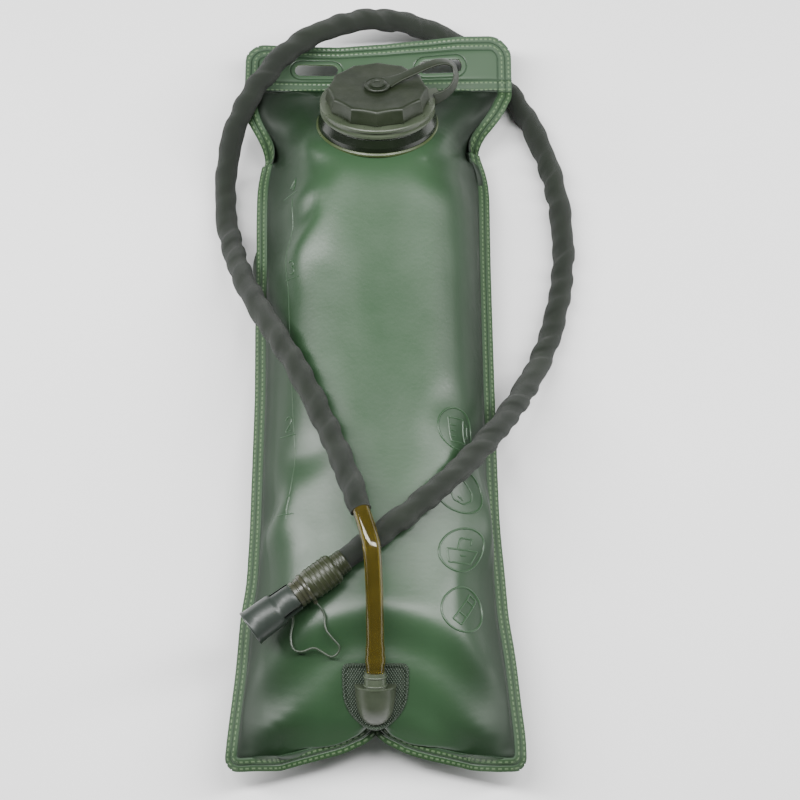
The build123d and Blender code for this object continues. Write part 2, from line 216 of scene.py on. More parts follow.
def film_look():
    look = Look("film", 0.33, Specular_IOR_Level=0.42)

    def times(a, b):
        return look.math("MULTIPLY", a, b)

    def most(a, b):
        return look.math("MAXIMUM", a, b)

    def stitched(length):
        return look.math("GREATER_THAN", look.math("SINE", times(length, STITCH_WAVE)), STITCH_GAP)
    tone = look.ramp(look.noise(9.0, 2.0), [(0.3, (0.020, 0.050, 0.021)),
                                            (0.7, (0.029, 0.066, 0.030))])
    rim = look.attribute("rim").outputs["Fac"]
    along = look.attribute("along").outputs["Fac"]
    flat = look.attribute("flat")
    apart = look.node("ShaderNodeSeparateXYZ", Vector=flat.outputs["Vector"])
    across, up = apart.outputs[0], apart.outputs[1]
    rows = most(band(look, rim, 0.0021, 0.0008), band(look, rim, 0.0062, 0.0008))
    in_rim = look.math("LESS_THAN", rim, 0.0090)
    header = look.math("GREATER_THAN", up, HEADER_LOW + 0.001)
    weld_rows = most(band(look, up, HEADER_LOW + 0.0015, 0.0008),
                     band(look, up, HEADER_LOW + 0.0058, 0.0008))
    stitches = most(times(rows, stitched(along)), times(weld_rows, stitched(across)))
    grooves = most(band(look, rim, RIM_GROOVE, 0.0007), band(look, rim, 0.0088, 0.0009))
    weld_lines = most(band(look, up, WELD_LINES[0], 0.0009), band(look, up, WELD_LINES[1], 0.0008))
    lines = most(grooves, weld_lines)
    slot_edge = band(look, look.attribute("slot").outputs["Fac"], 0.0030, 0.0007)
    lines = most(lines, slot_edge)
    flange = most(in_rim, header)
    side = look.math("SMOOTH_MAX", look.math("ABSOLUTE", across), 0.0, 0.01)
    side = times(side, 10.0)
    # Painted shade: the film's colour is darkened towards its long sides, where the crown turns
    # away from the lights.
    shade = look.ramp(side, [(0.30, (1, 1, 1)), (0.74, (0.24, 0.26, 0.24))])
    # Painted shade: the chamber's colour is darkened towards the header, over its top 80 mm.
    head = look.ramp(times(look.math("SUBTRACT", 0.2, up), 10.0),
                     [(0.10, (0.45, 0.46, 0.45)), (0.85, (1, 1, 1))])
    # From here the film's tone carries the painted side shade and the painted shade towards the
    # header.
    tone = look.times(look.times(tone, shade), head)
    matt = look.ramp(side, [(0.42, (0.0,) * 3), (0.72, (0.30,) * 3)])
    colour = look.mix(flange, tone, (0.024, 0.056, 0.021))
    colour = look.mix(header, colour, (0.040, 0.074, 0.040))
    colour = look.mix(times(stitches, 0.45), colour, (0.20, 0.30, 0.15))
    colour = look.mix(times(lines, 0.75), colour, (0.010, 0.030, 0.012))
    look.link(colour, "Base Color")
    rough = look.ramp(look.noise(60.0, 3.0), [(0.3, (0.31,) * 3), (0.7, (0.37,) * 3)])
    look.link(look.math("ADD", rough, matt), "Roughness")
    height = look.math("SUBTRACT", times(stitches, 0.5), lines)
    look.bump(height, 0.0006, 0.8)
    look.bump(look.noise(420.0, 4.0), 0.00008, 0.5)
    look.bump(look.noise(26.0, 2.0), 0.0003, 0.2)
    return look.mat


def edge_look():
    look = Look("film_edge", 0.45)
    look.link(look.ramp(look.noise(120.0), [(0.3, (0.07, 0.15, 0.035)), (0.7, (0.11, 0.21, 0.06))]),
              "Base Color")
    return look.mat


def plastic_look(name, dark, light, rough, grain=700.0, scuff=0.00005, **sockets):
    """Moulded plastic: cloudy tone, fine spark-eroded grain, slight wear on the roughness."""
    look = Look(name, rough, **sockets)
    look.link(look.ramp(look.noise(45.0, 4.0), [(0.3, dark), (0.72, light)]), "Base Color")
    wear = look.ramp(look.noise(160.0, 5.0), [(0.3, (rough * 0.85,) * 3),
                                              (0.7, (rough * 1.2,) * 3)])
    look.link(wear, "Roughness")
    look.bump(look.noise(grain, 4.0), scuff, 0.8)
    return look.mat


def knurl_look():
    look = Look("port_plate", 0.5)
    apart = look.node("ShaderNodeSeparateXYZ", Vector=look.place(turn=(-PORT_LEAN, 0, 0)))
    pitch = 2100.0
    one = look.math("SINE", look.math("MULTIPLY", look.math("ADD", apart.outputs[0],
                                                            apart.outputs[1]), pitch))
    two = look.math("SINE", look.math("MULTIPLY", look.math("SUBTRACT", apart.outputs[0],
                                                            apart.outputs[1]), pitch))
    diamond = look.math("MULTIPLY", look.math("ABSOLUTE", one), look.math("ABSOLUTE", two))
    # Painted shade: the grooves between the knurl's diamonds are painted darker, on the same
    # pattern as the bump.
    look.link(look.ramp(diamond, [(0.05, (0.018, 0.030, 0.018)), (0.6, (0.044, 0.064, 0.042))]),
              "Base Color")
    look.bump(diamond, 0.0006, 1.0)
    return look.mat


def amber_look():
    look = Look("amber_tube", 0.08, IOR=1.45, Transmission_Weight=0.80)
    tone = look.ramp(look.noise(70.0, 3.0), [(0.3, (0.15, 0.115, 0.014)),
                                             (0.7, (0.22, 0.170, 0.026))])
    look.link(tone, "Base Color")
    return look.mat


def sleeve_look():
    """Plain weave in strips around the tube, from the piece's own length and angle."""
    look = Look("sleeve_fabric", 0.85, Sheen_Weight=0.08, Sheen_Roughness=0.5)
    apart = look.node("ShaderNodeSeparateXYZ", Vector=look.attribute("flat").outputs["Vector"])
    around = look.math("MULTIPLY", apart.outputs[0], 72.0)
    length = look.math("MULTIPLY", apart.outputs[1], 7800.0)
    weave = look.math("MULTIPLY", look.math("SINE", around), look.math("SINE", length))
    soft = look.noise(34.0, 4.0)
    tone = look.ramp(soft, [(0.3, (0.005, 0.011, 0.004)), (0.75, (0.012, 0.021, 0.009))])
    # Painted shade: the weave's hollows are painted darker than its crowns, on the same pattern as
    # the bump.
    thread = look.ramp(weave, [(0.2, (0.62,) * 3), (0.8, (1.0,) * 3)])
    look.link(look.times(tone, thread), "Base Color")
    look.bump(weave, 0.00025, 0.8)
    look.bump(look.noise(210.0, 5.0), 0.0005, 0.35)
    return look.mat


LOOKS = {
    "film": film_look(),
    "edge": edge_look(),
    "cap": plastic_look("cap_plastic", (0.008, 0.013, 0.005), (0.015, 0.022, 0.009), 0.46),
    "leash": plastic_look("leash_plastic", (0.009, 0.014, 0.006), (0.017, 0.024, 0.012), 0.46),
    "neck": plastic_look("neck_plastic", (0.030, 0.046, 0.014), (0.055, 0.075, 0.028), 0.30),
    "collar": plastic_look("collar_rubber", (0.003, 0.006, 0.002), (0.007, 0.012, 0.005), 0.22),
    "rim": plastic_look("leash_ring_plastic", (0.034, 0.046, 0.026), (0.060, 0.074, 0.048), 0.30),
    "seal": plastic_look("seal_rubber", (0.010, 0.010, 0.010), (0.022, 0.022, 0.021), 0.60),
    "knurl": knurl_look(),
    "boss": plastic_look("boss_plastic", (0.036, 0.046, 0.028), (0.058, 0.070, 0.046), 0.36),
    "connector": plastic_look("connector_plastic", (0.050, 0.064, 0.040), (0.090, 0.105, 0.075),
                              0.30),
    "amber": amber_look(),
    "sleeve": sleeve_look(),
    "valve": plastic_look("valve_plastic", (0.012, 0.016, 0.006), (0.030, 0.036, 0.016), 0.36,
                          grain=420.0, scuff=0.00012),
    "ring": plastic_look("ring_plastic", (0.018, 0.020, 0.010), (0.042, 0.044, 0.026), 0.28),
    "mouth": plastic_look("mouth_silicone", (0.10, 0.12, 0.09), (0.15, 0.17, 0.13), 0.55),
    "cover": plastic_look("cover_plastic", (0.015, 0.021, 0.017), (0.028, 0.036, 0.030), 0.36),
    "tether": plastic_look("tether_cord", (0.022, 0.036, 0.020), (0.045, 0.062, 0.040), 0.4),
}


# ---- mesh helpers ----------------------------------------------------------------------------
def add_object(name, data):
    made = bpy.data.objects.new(name, data)
    bpy.context.scene.collection.objects.link(made)
    return made


def point_values(piece, label, values):
    """Stores one number or one vector per vertex for the materials to read."""
    values = np.asarray(values, np.float32)
    kind, key = ("FLOAT", "value") if values.ndim == 1 else ("FLOAT_VECTOR", "vector")
    piece.data.attributes.new(label, kind, "POINT").data.foreach_set(key, values.ravel())


def polar(radius, angle):
    return radius * math.cos(angle), radius * math.sin(angle)


def new_piece(name, verts, faces, look, body="root"):
    mesh = bpy.data.meshes.new(name)
    mesh.from_pydata([tuple(v) for v in verts], [], faces)
    mesh.validate()
    mesh.update()
    mesh.polygons.foreach_set("use_smooth", [True] * len(mesh.polygons))
    mesh.materials.append(LOOKS[look])
    piece = add_object(name, mesh)
    if body:
        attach(piece, body)
    return piece


def quads_between(rows, count, skip=None):
    """Faces from each closed ring of count vertices to the next; skip(row, k) leaves one out."""
    faces = []
    for row in range(rows - 1):
        for k in range(count):
            if skip and skip(row, k):
                continue
            after = (k + 1) % count
            faces.append((row * count + k, row * count + after, (row + 1) * count + after,
                          (row + 1) * count + k))
    return faces


def capped(rows, count):
    """Faces of a closed tube of rings."""
    return quads_between(rows, count) + [tuple(range(count)),
                                         tuple((rows - 1) * count + i for i in range(count))]


def solid_piece(name, verts, faces, look, body, angle):
    """Piece with its faces pointing outwards and its edges over angle kept sharp."""
    piece = new_piece(name, verts, faces, look, body)
    work = bmesh.new()
    work.from_mesh(piece.data)
    bmesh.ops.recalc_face_normals(work, faces=work.faces)
    work.to_mesh(piece.data)
    work.free()
    piece.data.set_sharp_from_angle(angle=math.radians(angle))
    return piece


def lathe(name, profile, place, look, body, sides=96, shape=None):
    """Closed piece of revolution from (radius, height) rows in mm; shape(angle, row) scales
    the radius. A row at radius 0 closes an end."""
    verts = []
    faces = []
    rings = []
    for row, (radius, height) in enumerate(profile):
        if radius <= 0:
            rings.append([len(verts)])
            verts.append(place @ (Vector((0, 0, height)) * MM))
            continue
        ring = []
        for k in range(sides):
            angle = 2 * math.pi * k / sides
            scaled = radius * (shape(angle, row) if shape else 1.0)
            ring.append(len(verts))
            verts.append(place @ (Vector((*polar(scaled, angle), height)) * MM))
        rings.append(ring)
    pairs = list(zip(rings, rings[1:]))
    if profile[0][0] > 0:
        pairs.append((rings[-1], rings[0]))
    for low, high in pairs:
        for k in range(sides):
            after = (k + 1) % sides
            if len(low) == 1 and len(high) > 1:
                faces.append((low[0], high[after], high[k]))
            elif len(high) == 1 and len(low) > 1:
                faces.append((low[k], low[after], high[0]))
            elif len(low) > 1:
                faces.append((low[k], low[after], high[after], high[k]))
    return solid_piece(name, verts, faces, look, body, 35)


def cord_curve(name, route, bevel=0.0):
    """Smooth NURBS line with the route's points as its control points."""
    data = bpy.data.curves.new(name, "CURVE")
    data.dimensions = "3D"
    spline = data.splines.new("NURBS")
    spline.points.add(len(route) - 1)
    for point, place in zip(spline.points, route):
        point.co = (*place, 1.0)
    spline.order_u = 3
    spline.use_endpoint_u = True
    spline.resolution_u = 24
    data.bevel_depth = bevel
    data.bevel_resolution = 6
    data.use_fill_caps = True
    return add_object(name, data)


def line_of(route):
    """Points read from the route's NURBS spline."""
    curve = cord_curve("route_line", route)
    bpy.context.view_layer.update()
    mesh = bpy.data.meshes.new_from_object(curve)
    points = np.array([v.co for v in mesh.vertices])
    bpy.data.objects.remove(curve)
    keep = [0]
    for k in range(1, len(points)):
        if np.linalg.norm(points[k] - points[keep[-1]]) > 1e-6:
            keep.append(k)
    return points[keep]


def resample(points, step):
    lengths = np.concatenate([[0], np.cumsum(np.linalg.norm(np.diff(points, axis=0), axis=1))])
    count = max(2, int(round(lengths[-1] / step)) + 1)
    wanted = np.linspace(0, lengths[-1], count)
    return np.stack([np.interp(wanted, lengths, points[:, k]) for k in range(3)], axis=1), wanted


def frames_along(points, first_normal):
    """Normal and side at each point, carried along without twist."""
    tangents = np.gradient(points, axis=0)
    tangents /= np.linalg.norm(tangents, axis=1)[:, None]
    normal = np.array(first_normal, float)
    normals = []
    for tangent in tangents:
        normal = normal - tangent * normal.dot(tangent)
        normal /= np.linalg.norm(normal)
        normals.append(normal.copy())
    normals = np.array(normals)
    return normals, np.cross(tangents, normals)


def swept(name, points, section, look, body, first_normal=(0, 0, 1)):
    """Sweeps section(k, t) -> [(side, up), ...] in metres along points."""
    normals, sides = frames_along(points, first_normal)
    total = len(points)
    verts = []
    for k in range(total):
        for a, b in section(k, k / (total - 1)):
            verts.append(points[k] + sides[k] * a + normals[k] * b)
    return solid_piece(name, verts, capped(total, len(verts) // total), look, body, 50)


def ring_section(radius, count):
    return [polar(radius, 2 * math.pi * i / count) for i in range(count)]


# ---- the film bag: cloth simulation on its flat pattern ---------------------------------------
BAG_WIDTH = 172.0 * MM
BAG_FLAT = 480.0 * MM        # cut length
RIM = 9.0 * MM               # width of the welded rim
FOOT = HEADER_TOP - BAG_FLAT
FOOT_INNER = FOOT + RIM
CHAMBER_CORNER = 16.0 * MM
NECK_FLAT = (0.0, HEADER_LOW - 40.7 * MM)
PORT_FLAT = (0.0, FOOT_INNER + 27.0 * MM)
PLACING_FRAMES = 14
LAST_FRAME = 46
FILM_MASS = 0.05             # of one cloth vertex
FILM_TENSION = 60
FILM_BENDING = 40
WATER_PRESSURE = 20

GRID_X = np.concatenate([[-BAG_WIDTH / 2, -BAG_WIDTH / 2 + RIM / 2],
                         np.linspace(-BAG_WIDTH / 2 + RIM, BAG_WIDTH / 2 - RIM, 37),
                         [BAG_WIDTH / 2 - RIM / 2, BAG_WIDTH / 2]])
GRID_Y = np.concatenate([[FOOT, FOOT + RIM / 2], np.linspace(FOOT_INNER, HEADER_LOW, 102),
                         np.linspace(HEADER_LOW, HEADER_TOP, 9)[1:]])


def in_chamber(x, y):
    half = BAG_WIDTH / 2 - RIM
    if abs(x) >= half - 1e-6 or y <= FOOT_INNER + 1e-6 or y >= HEADER_LOW - 1e-6:
        return False
    across = abs(x) - (half - CHAMBER_CORNER)
    for corner, way in ((FOOT_INNER + CHAMBER_CORNER, -1), (HEADER_LOW - CHAMBER_CORNER, 1)):
        if across > 0 and (y - corner) * way > 0:
            if math.hypot(across, y - corner) >= CHAMBER_CORNER - 1e-6:
                return False
    return True


def placed_point(x, y):
    """Where a held point of the front film goes, or None where the film is free."""
    if y >= HEADER_LOW - 1e-6:
        return Vector((x * 85 / 86, y, SEAM_Z))
    if not in_chamber(x, y):
        return None
    local = Vector((x - NECK_FLAT[0], y - NECK_FLAT[1], 0))
    if local.length <= 0.038:
        return NECK @ local
    local = Vector((x - PORT_FLAT[0], y - PORT_FLAT[1], 0))
    if (local.x / 0.018) ** 2 + (local.y / 0.019) ** 2 <= 1:
        return PORT @ local
    return None


def simulate_bag():
    """Inflates the flat bag with its filler, port and header held; returns two grids."""
    verts = []
    front = {}
    back = {}
    for j, y in enumerate(GRID_Y):
        for i, x in enumerate(GRID_X):
            front[i, j] = back[i, j] = len(verts)
            if in_chamber(x, y):
                verts.append((x, y, SEAM_Z + 0.0015))
                back[i, j] = len(verts)
                verts.append((x, y, SEAM_Z - 0.0015))
            else:
                verts.append((x, y, SEAM_Z))
    faces = []
    for j in range(len(GRID_Y) - 1):
        for i in range(len(GRID_X) - 1):
            top = [front[i, j], front[i + 1, j], front[i + 1, j + 1], front[i, j + 1]]
            low = [back[i, j], back[i, j + 1], back[i + 1, j + 1], back[i + 1, j]]
            faces.append(top)
            if set(low) != set(top):
                faces.append(low)
    mesh = bpy.data.meshes.new("bag_cloth")
    mesh.from_pydata(verts, [], faces)
    bag = add_object("bag_cloth", mesh)
    bag.shape_key_add(name="Basis")
    placed = bag.shape_key_add(name="placed")
    held = []
    for (i, j), v in front.items():
        target = placed_point(GRID_X[i], GRID_Y[j])
        if target is not None:
            held.append(v)
            placed.data[v].co = target
    bag.vertex_groups.new(name="held").add(held, 1.0, "REPLACE")
    double = [v for key, v in front.items() if back[key] != v]
    double += [v for key, v in back.items() if front[key] != v]
    bag.vertex_groups.new(name="blown").add(double, 1.0, "REPLACE")
    placed.value = 0.0
    placed.keyframe_insert("value", frame=1)
    placed.value = 1.0
    placed.keyframe_insert("value", frame=PLACING_FRAMES)
    ground_mesh = bpy.data.meshes.new("ground")
    ground_mesh.from_pydata([(-1, -1, 0), (1, -1, 0), (1, 1, 0), (-1, 1, 0)], [], [(0, 1, 2, 3)])
    ground = add_object("ground", ground_mesh)
    ground.modifiers.new("hit", "COLLISION")
    ground.collision.thickness_outer = 0.001
    cloth = bag.modifiers.new("cloth", "CLOTH")
    setting = cloth.settings
    setting.quality = 8
    setting.mass = FILM_MASS
    setting.air_damping = 3
    setting.tension_stiffness = setting.compression_stiffness = FILM_TENSION
    setting.shear_stiffness = FILM_TENSION / 2
    setting.bending_stiffness = FILM_BENDING
    setting.tension_damping = setting.compression_damping = 20
    setting.shear_damping = 10
    setting.bending_damping = 2
    setting.vertex_group_mass = "held"
    setting.use_pressure = True
    setting.uniform_pressure_force = WATER_PRESSURE
    setting.vertex_group_pressure = "blown"
    setting.effector_weights.gravity = 0.3
    cloth.collision_settings.distance_min = 0.001
    cloth.point_cache.frame_end = LAST_FRAME
    scene = bpy.context.scene
    scene.frame_end = LAST_FRAME
    for step in range(1, LAST_FRAME + 1):
        scene.frame_set(step)
    done = bag.evaluated_get(bpy.context.evaluated_depsgraph_get())
    places = np.array([v.co for v in done.data.vertices])
    grids = []
    for index in (front, back):
        grid = np.zeros((len(GRID_X), len(GRID_Y), 3))
        for key, v in index.items():
            grid[key] = places[v]
        grids.append(grid)
    bpy.data.objects.remove(bag)
    bpy.data.objects.remove(ground)
    scene.frame_set(1)
    return grids


# outline that the filled bag takes, in mm: (y, half width) on each side and (x, y) at the foot
LEFT_EDGE = [(-232, 86), (-222, 86), (-213, 85), (-196, 83), (-178, 81), (-161, 80), (-143, 79),
             (-125, 76), (-89, 75), (-51, 74.5), (-7, 74), (45, 75), (105, 75.5), (132, 75.5),
             (146, 73.5), (152, 71), (157, 70.5), (162, 73), (168, 78), (180, 83), (202, 85)]
RIGHT_EDGE = [(-232, 86), (-222, 86), (-213, 86), (-196, 83.5), (-178, 82), (-161, 80),
              (-143, 77), (-125, 76), (-89, 73), (-51, 72), (6, 71), (84, 70), (132, 70),
              (142, 69), (149, 66), (155, 63.5), (160, 62.5), (165, 64.5), (170, 69),
              (175, 74), (183, 79), (195, 83), (209, 85)]
FOOT_EDGE = [(-86, -232), (-73, -232.5), (-56, -231), (-45, -228), (-33, -225), (-21, -222),
             (-8, -216), (-4, -212), (0, -209.5), (4, -212), (8, -216), (20, -222), (31, -225),
             (45, -228), (58, -231), (71, -232.5), (86, -232)]
RIM_TILT = math.radians(40.0)
# creases as (outer end, inner end, depth, width) in mm
CREASES = [((64, 160), (31, 133), 14.0, 6.0), ((-71, 158), (-47, 137), 12.0, 5.0)]
# steep facets below the fold lines at the foot: three corners of each, in mm
FACETS = [((-70, -226, 25), (-27, -194, 53), (-5, -212, 34)),
          ((72, -226, 25), (40, -196, 53), (5, -212, 34))]


def blurred(values, sigma):
    """Gaussian blur along the first axis, with the ends held."""
    reach = int(3 * sigma) + 1
    kernel = np.exp(-0.5 * (np.arange(-reach, reach + 1) / sigma) ** 2)
    kernel /= kernel.sum()
    padded = np.concatenate([np.repeat(values[:1], reach, 0), values,
                             np.repeat(values[-1:], reach, 0)])
    return sum(w * padded[k:k + len(values)] for k, w in enumerate(kernel))


def edge_at(rows, place):
    return np.interp(place, [a for a, _ in rows], [b for _, b in rows])


def widen(front, back):
    """Stretches the bag sideways and at the foot so that its seam follows the outline."""
    inset = RIM * math.cos(RIM_TILT)
    fade = np.clip((HEADER_LOW - GRID_Y) / 0.012, 0, 1)
    for side, edge, column in ((-1, LEFT_EDGE, 2), (1, RIGHT_EDGE, -3)):
        seam = front[column]
        wanted = edge_at(edge, seam[:, 1] / MM) * MM - inset
        factor = 1 + (wanted / np.maximum(np.abs(seam[:, 0]), 0.03) - 1) * fade
        for grid in (front, back):
            half = grid[:, :, 0] * side > 0
            grid[:, :, 0] *= np.where(half, factor[None, :], 1.0)
    seam = front[:, 2].copy()
    shift = edge_at(FOOT_EDGE, seam[:, 0] / MM) * MM + RIM * 0.8 - seam[:, 1]
    for grid in (front, back):
        away = np.maximum(grid[:, :, 1] - seam[:, None, 1], 0)
        grid[:, :, 1] += shift[:, None] * np.exp(-(away / 0.022) ** 2)


def settle(front, back):
    """Calms the wrinkles and brings the face onto the CAD face."""
    for grid in (front, back):
        calm = blurred(grid.transpose(1, 0, 2), 1.5).transpose(1, 0, 2)
        grid[:, 3:-10] = calm[:, 3:-10]
        calm = blurred(grid, 1.0)
        grid[4:-4, 4:-10] = calm[4:-4, 4:-10]
    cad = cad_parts["front_panel"].data
    tree = BVHTree.FromPolygons([v.co for v in cad.vertices], [p.vertices[:] for p in cad.polygons])
    gap = np.zeros(front.shape[:2])
    for i in range(front.shape[0]):
        for j in range(front.shape[1]):
            x, y, z = front[i, j]
            hit = tree.ray_cast(Vector((x, y, 0.2)), Vector((0, 0, -1)))[0]
            if hit and in_chamber(GRID_X[i], GRID_Y[j]) and hit.z > SEAM_Z + 0.002:
                gap[i, j] = hit.z - 0.0006 - z
    gap = blurred(blurred(gap, 2.0).T, 2.5).T
    inner = np.clip((BAG_WIDTH / 2 - RIM - np.abs(GRID_X)) / 0.016, 0, 1)
    front[:, :, 2] += gap * (inner ** 0.7)[:, None]
    chamber = np.array([[in_chamber(x, y) for y in GRID_Y] for x in GRID_X])
    back[:, :, 2] = np.where(chamber, np.maximum(back[:, :, 2] - 0.0014, 0.0006), back[:, :, 2])


def lay_rim(front, back):
    """Lays the welded rim outwards and down from the seam, flat again beside the header."""
    last = len(GRID_X) - 1
    foot = front[:, 2].copy()
    outward = np.gradient(foot, axis=0)
    outward = np.stack([outward[:, 1], -outward[:, 0]], axis=1)
    outward /= np.linalg.norm(outward, axis=1)[:, None]
    for side in (0, last):
        seam_column = 2 if side == 0 else last - 2
        seam = front[seam_column].copy()
        along = np.gradient(seam, axis=0)[:, :2]
        along /= np.maximum(np.linalg.norm(along, axis=1), 1e-9)[:, None]
        way = -1 if side == 0 else 1
        across = np.stack([along[:, 1], -along[:, 0]], axis=1) * way
        across *= np.sign(across[:, :1] * way)
        across = blurred(across, 3.0)
        for j, y in enumerate(GRID_Y):
            if y >= HEADER_LOW - 1e-6:
                continue
            tilt = RIM_TILT * min(1.0, (HEADER_LOW - y) / 0.030)
            for step in (1, 2):
                reach = RIM * step / 2
                column = seam_column + way * step
                drop = math.sin(tilt) * reach
                place = np.array([seam[j, 0] + across[j, 0] * math.cos(tilt) * reach,
                                  seam[j, 1] + across[j, 1] * math.cos(tilt) * reach,
                                  seam[j, 2] - drop])
                for grid in (front, back):
                    grid[column, j] = place
    for i in range(len(GRID_X)):
        inner = min(max(i, 2), last - 2)
        for step in (1, 2):
            reach = RIM * step / 2
            push = np.array([outward[inner, 0] * 0.8, outward[inner, 1] * 0.8, -0.6]) * reach
            base = front[i, 2].copy()
            for grid in (front, back):
                grid[i, 2 - step] = base + push


def crease(front):
    """Dents the shoulders and turns the face down steeply at the foot."""
    x = front[:, :, 0] / MM
    y = front[:, :, 1] / MM
    for outer, inner, depth, width in CREASES:
        run = np.array(inner, float) - np.array(outer, float)
        length = np.linalg.norm(run)
        run /= length
        s = ((x - outer[0]) * run[0] + (y - outer[1]) * run[1]) / length
        t = -(x - outer[0]) * run[1] + (y - outer[1]) * run[0]
        near = np.exp(-(t / width) ** 2) * np.clip(1 - s, 0, 1) * np.clip(1 + s * 4, 0, 1)
        front[:, :, 2] -= np.where(front[:, :, 2] > SEAM_Z, near * depth * MM, 0)
    for corners in FACETS:
        a, b, c = (Vector(q) for q in corners)
        normal = (b - a).cross(c - a)
        plane = a.z - (normal.x * (x - a.x) + normal.y * (y - a.y)) / normal.z
        over = front[:, :, 2] / MM - plane
        soft = 1.2
        span = (x - a.x) / (c.x - a.x)
        share = np.clip(span * 4.0, 0, 1) * np.clip((1 - span) * 6.0, 0, 1)
        share *= np.clip((-176 - y) / 14, 0, 1)
        cut = np.log1p(np.exp(np.clip(over / soft, -30, 30))) * soft * share
        front[:, :, 2] -= cut * MM


def fit_bag(front, back):
    """Settles the inflated bag on the CAD face and on its own outline."""
    widen(front, back)
    settle(front, back)
    crease(front)
    lay_rim(front, back)
    wave = edge_at([(-86, -0.8), (-60, -2.0), (-25, -4.5), (5, -3.8), (32, -1.5), (52, 1.5),
                    (72, 3.0), (86, 2.0)], GRID_X / MM) * MM
    rise = np.clip((GRID_Y - HEADER_LOW) / (HEADER_TOP - HEADER_LOW), 0, 1)
    for grid in (front, back):
        grid[:, :, 1] += wave[:, None] * rise[None, :]
        grid[:, :, 2] += 0.0035 * np.sin(GRID_X / 0.030 + 0.6)[:, None] * rise[None, :]
        grid[:, :, 2] = np.maximum(grid[:, :, 2], 0.0006)
    return front, back


def catmull(positions, count):
    """Rows of Catmull-Rom weights for fractional grid positions."""
    base = np.clip(np.floor(positions).astype(int), 0, count - 2)
    t = positions - base
    parts = (-0.5 * t + t ** 2 - 0.5 * t ** 3, 1 - 2.5 * t ** 2 + 1.5 * t ** 3,
             0.5 * t + 2 * t ** 2 - 1.5 * t ** 3, -0.5 * t ** 2 + 0.5 * t ** 3)
    weights = np.zeros((len(positions), count))
    for offset, part in zip((-1, 0, 1, 2), parts):
        np.add.at(weights, (np.arange(len(positions)), np.clip(base + offset, 0, count - 1)), part)
    return weights


def on_surface(grid, flat):
    """Points of the film at flat pattern places."""
    flat = np.asarray(flat, float)
    across = catmull(np.interp(flat[:, 0], GRID_X, np.arange(len(GRID_X))), len(GRID_X))
    along = catmull(np.interp(flat[:, 1], GRID_Y, np.arange(len(GRID_Y))), len(GRID_Y))
    return np.einsum("kjc,kj->kc", np.einsum("ki,ijc->kjc", across, grid), along)


def rounded_box(x, y, half_x, half_y, radius):
    """Signed distance to a rounded rectangle, negative inside."""
    away_x = np.abs(x) - (half_x - radius)
    away_y = np.abs(y) - (half_y - radius)
    outside = np.hypot(np.maximum(away_x, 0), np.maximum(away_y, 0))
    return outside + np.minimum(np.maximum(away_x, away_y), 0) - radius


def outline_distance(x, y):
    middle = 0.5 * (FOOT + HEADER_TOP)
    radius = np.where(y > middle, 14.0 * MM, 11.0 * MM)
    return rounded_box(x, y - middle, BAG_WIDTH / 2, BAG_FLAT / 2, radius)


def slot_distance(x, y):
    return rounded_box(np.abs(x) - SLOT_X, y - SLOT_Y, SLOT_LENGTH / 2, SLOT_WIDTH / 2,
                       SLOT_WIDTH / 2 - 1e-5)


FINE = 4                     # fine rows per cloth row


def fine_pattern():
    """Flat places of the fine grid, with the points by an outline moved onto it."""
    u = np.interp(np.arange(0, len(GRID_X) - 1 + 1e-9, 1 / FINE), np.arange(len(GRID_X)), GRID_X)
    v = np.interp(np.arange(0, len(GRID_Y) - 1 + 1e-9, 1 / FINE), np.arange(len(GRID_Y)), GRID_Y)
    x, y = np.meshgrid(u, v, indexing="ij")
    cell = 1.1 * MM
    for distance, way in ((outline_distance, 1), (slot_distance, -1)):
        d = distance(x, y)
        e = 1e-5
        slope_x = (distance(x + e, y) - distance(x - e, y)) / (2 * e)
        slope_y = (distance(x, y + e) - distance(x, y - e)) / (2 * e)
        near = np.abs(d) < 0.62 * cell
        x = np.where(near, x - d * slope_x, x)
        y = np.where(near, y - d * slope_y, y)
    return x, y


PRESS_REACH = 2.4            # times the radius, to either side of the line
PRESS_SPREAD = 1.7           # how gently the film rises beside the line
PRESS_CLEAR = 0.2 * MM


def press_down(points, line, radii):
    """Film under a cord or valve gives way: its height is limited near the line."""
    for place, radius in zip(line, radii):
        near = np.abs(points[:, 0] - place[0]) < PRESS_REACH * radius
        near &= np.abs(points[:, 1] - place[1]) < PRESS_REACH * radius
        if not near.any():
            continue
        local = points[near]
        away = np.hypot(local[:, 0] - place[0], local[:, 1] - place[1])
        limit = place[2] - radius - PRESS_CLEAR + away ** 2 / (PRESS_SPREAD * radius)
        above = (local[:, 2] < place[2] + radius) & (away < PRESS_REACH * radius)
        local[:, 2] = np.where(above, np.minimum(local[:, 2], limit), local[:, 2])
        points[near] = local
    return points


# outline of the port's shield, in mm on the port's plane
SHIELD = [
    (-15.5, 17.8), (-8.0, 17.9), (8.0, 17.9), (15.5, 17.8), (17.9, 16.8), (18.9, 13.5),
    (18.6, 2.0), (17.4, -5.0), (14.5, -11.0), (10.0, -16.0), (5.0, -19.6), (0.0, -21.0),
    (-5.0, -19.6), (-10.0, -16.0), (-14.5, -11.0), (-17.4, -5.0), (-18.6, 2.0),
    (-18.9, 13.5), (-17.9, 16.8),
]


def shield_gap(u, v):
    """Rough distance in mm outside the port's shield."""
    half = np.interp(v, [-21, -19.6, -16, -11, -5, 2, 12, 17.6],
                     [0, 5, 10, 14.5, 17.4, 18.6, 19, 18])
    return np.maximum.reduce([np.abs(u) - half, v - 17.6, -21 - v])


